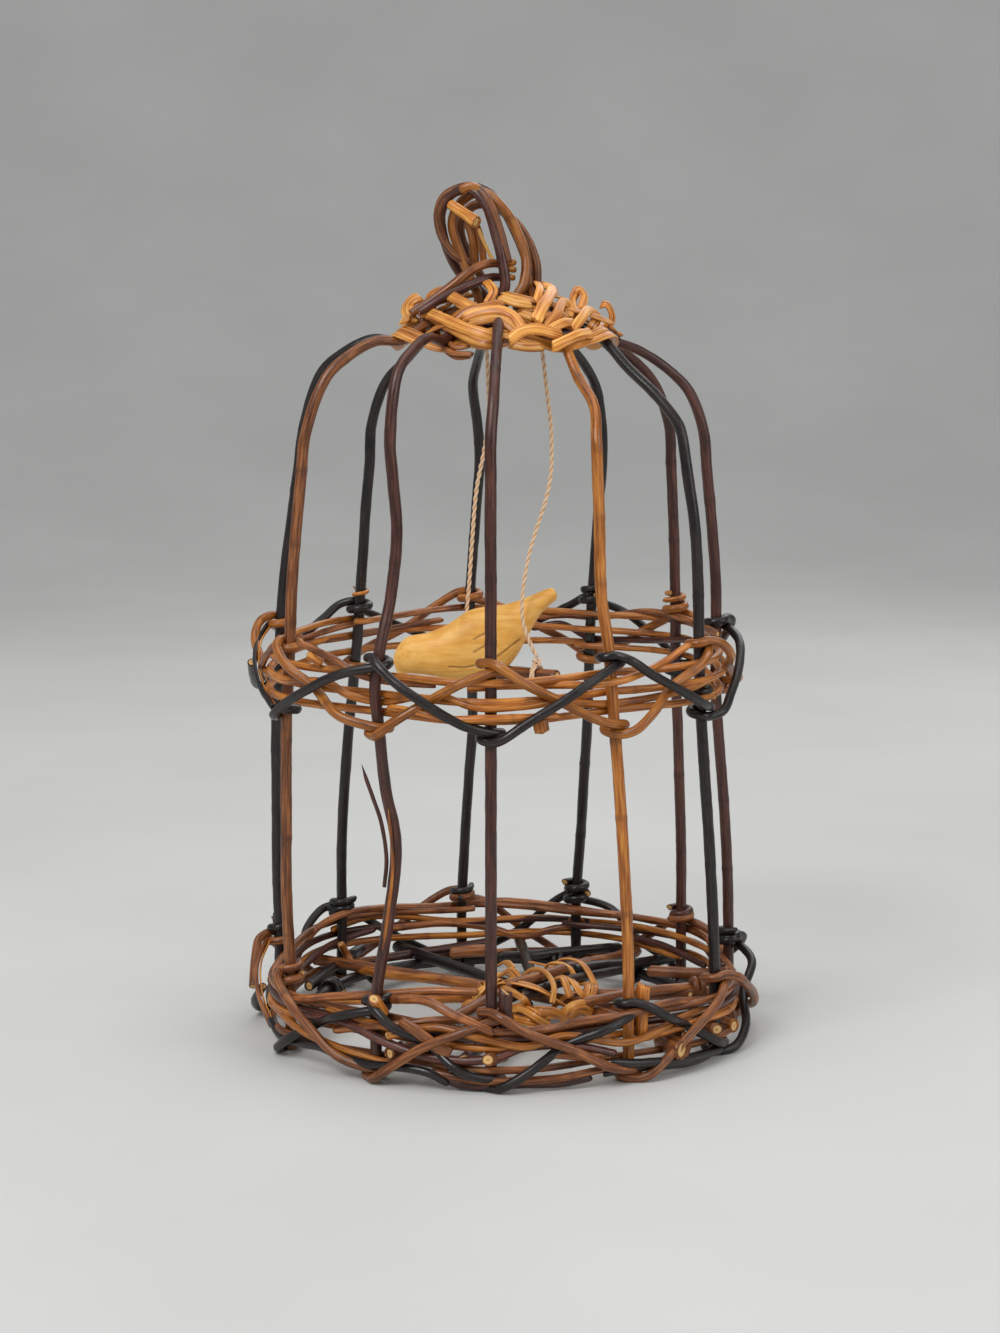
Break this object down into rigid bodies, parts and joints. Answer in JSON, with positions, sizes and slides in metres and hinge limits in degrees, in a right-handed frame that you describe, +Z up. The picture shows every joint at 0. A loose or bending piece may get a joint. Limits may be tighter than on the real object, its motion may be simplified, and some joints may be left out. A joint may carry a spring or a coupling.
{
  "type": "twig birdcage with a swinging carved bird",
  "caption": "Open dome-shaped birdcage woven from bark-on twigs, with a loop handle, and a carved bird on a perch that swings from two twine cords inside.",
  "frame": {"origin": "on the ground under the middle of the cage", "axes": "+Z up, the front is -Y, +X to the right"},
  "size_m": [0.2379, 0.2317, 0.388],
  "materials": {
    "black_bark": "semi-gloss bark",
    "dark_red_bark": "semi-gloss bark",
    "brown_bark": "semi-gloss bark",
    "orange_bark": "glossy bark",
    "split_wood": "smooth peeled and split wood",
    "twine": "two-ply twisted twine",
    "ochre_paint": "matt paint on carved wood"
  },
  "bodies": {
    "cage": {"upright_front": "dark_red_bark", "upright_front_right": "orange_bark", "upright_right_front": "black_bark", "upright_right": "dark_red_bark", "upright_right_back": "dark_red_bark", "upright_back_right": "black_bark", "upright_back_left": "black_bark", "upright_left_back": "black_bark", "upright_left": "black_bark", "upright_left_front": "brown_bark", "upright_split": "dark_red_bark", "upright_split_sliver": "dark_red_bark", "base_weaver_1": "brown_bark", "base_weaver_2": "orange_bark", "base_weaver_3": "dark_red_bark", "base_weaver_4": "brown_bark", "ring_weaver_1": "orange_bark", "ring_weaver_2": "orange_bark", "ring_weaver_3": "orange_bark", "base_zigzag_dark": "black_bark", "base_zigzag_brown": "brown_bark", "ring_zigzag_orange": "orange_bark", "ring_zigzag_black": "black_bark", "floor_stick_over_left": "brown_bark", "floor_stick_over_right": "black_bark", "floor_stick_through": "brown_bark", "floor_stick_left": "orange_bark", "floor_stick_right": "brown_bark", "floor_stick_front": "dark_red_bark", "floor_stick_back": "black_bark", "floor_stick_front_right": "brown_bark", "floor_stick_back_left": "black_bark", "floor_ring_inner": "split_wood", "floor_ring_outer": "split_wood", "floor_hoop": "black_bark", "crown_ring_1": "split_wood", "crown_ring_2": "split_wood", "crown_ring_3": "split_wood", "crown_ring_4": "split_wood", "crown_split_1": "split_wood", "crown_split_2": "split_wood", "crown_split_3": "split_wood", "crown_split_4": "split_wood", "crown_split_5": "split_wood", "handle_strand_front": "dark_red_bark", "handle_strand_middle": "orange_bark", "handle_strand_back": "brown_bark", "handle_root_upper": "brown_bark", "handle_root_lower": "dark_red_bark", "swing_bar": "brown_bark"},
    "hanger": {"swing_knot_top_left": "twine", "swing_knot_top_right": "twine"},
    "cord_left": {"swing_cord_left": "twine"},
    "cord_right": {"swing_cord_right": "twine"},
    "perch": {"swing_perch": "dark_red_bark", "carved_bird": "ochre_paint", "swing_knot_low_left": "twine", "swing_knot_low_right": "twine"}
  },
  "joints": [
    {"name": "swing", "type": "hinge", "parent": "cage", "child": "hanger", "pos_m": [0.00419, -0.002, 0.32762], "axis": [0.8387, -0.5446, 0], "range_deg": [-12, 12]},
    {"name": "sway", "type": "hinge", "parent": "hanger", "child": "cord_left", "pos_m": [-0.00805, 0.00595, 0.32065], "axis": [-0.5446, -0.8387, 0], "range_deg": [-6, 6]},
    {"name": "sway_right", "type": "hinge", "parent": "hanger", "child": "cord_right", "pos_m": [0.01644, -0.00995, 0.32065], "axis": [-0.5446, -0.8387, 0], "range_deg": [-7, 7]},
    {"name": "perch_tilt", "type": "hinge", "parent": "cord_left", "child": "perch", "pos_m": [-0.01971, 0.01352, 0.17475], "axis": [-0.5446, -0.8387, 0], "range_deg": [-5, 5]}
  ],
  "couplings": [
    {"joint": "sway_right", "follows": "sway", "ratio": 1},
    {"joint": "perch_tilt", "follows": "sway", "ratio": -0.7053}
  ]
}
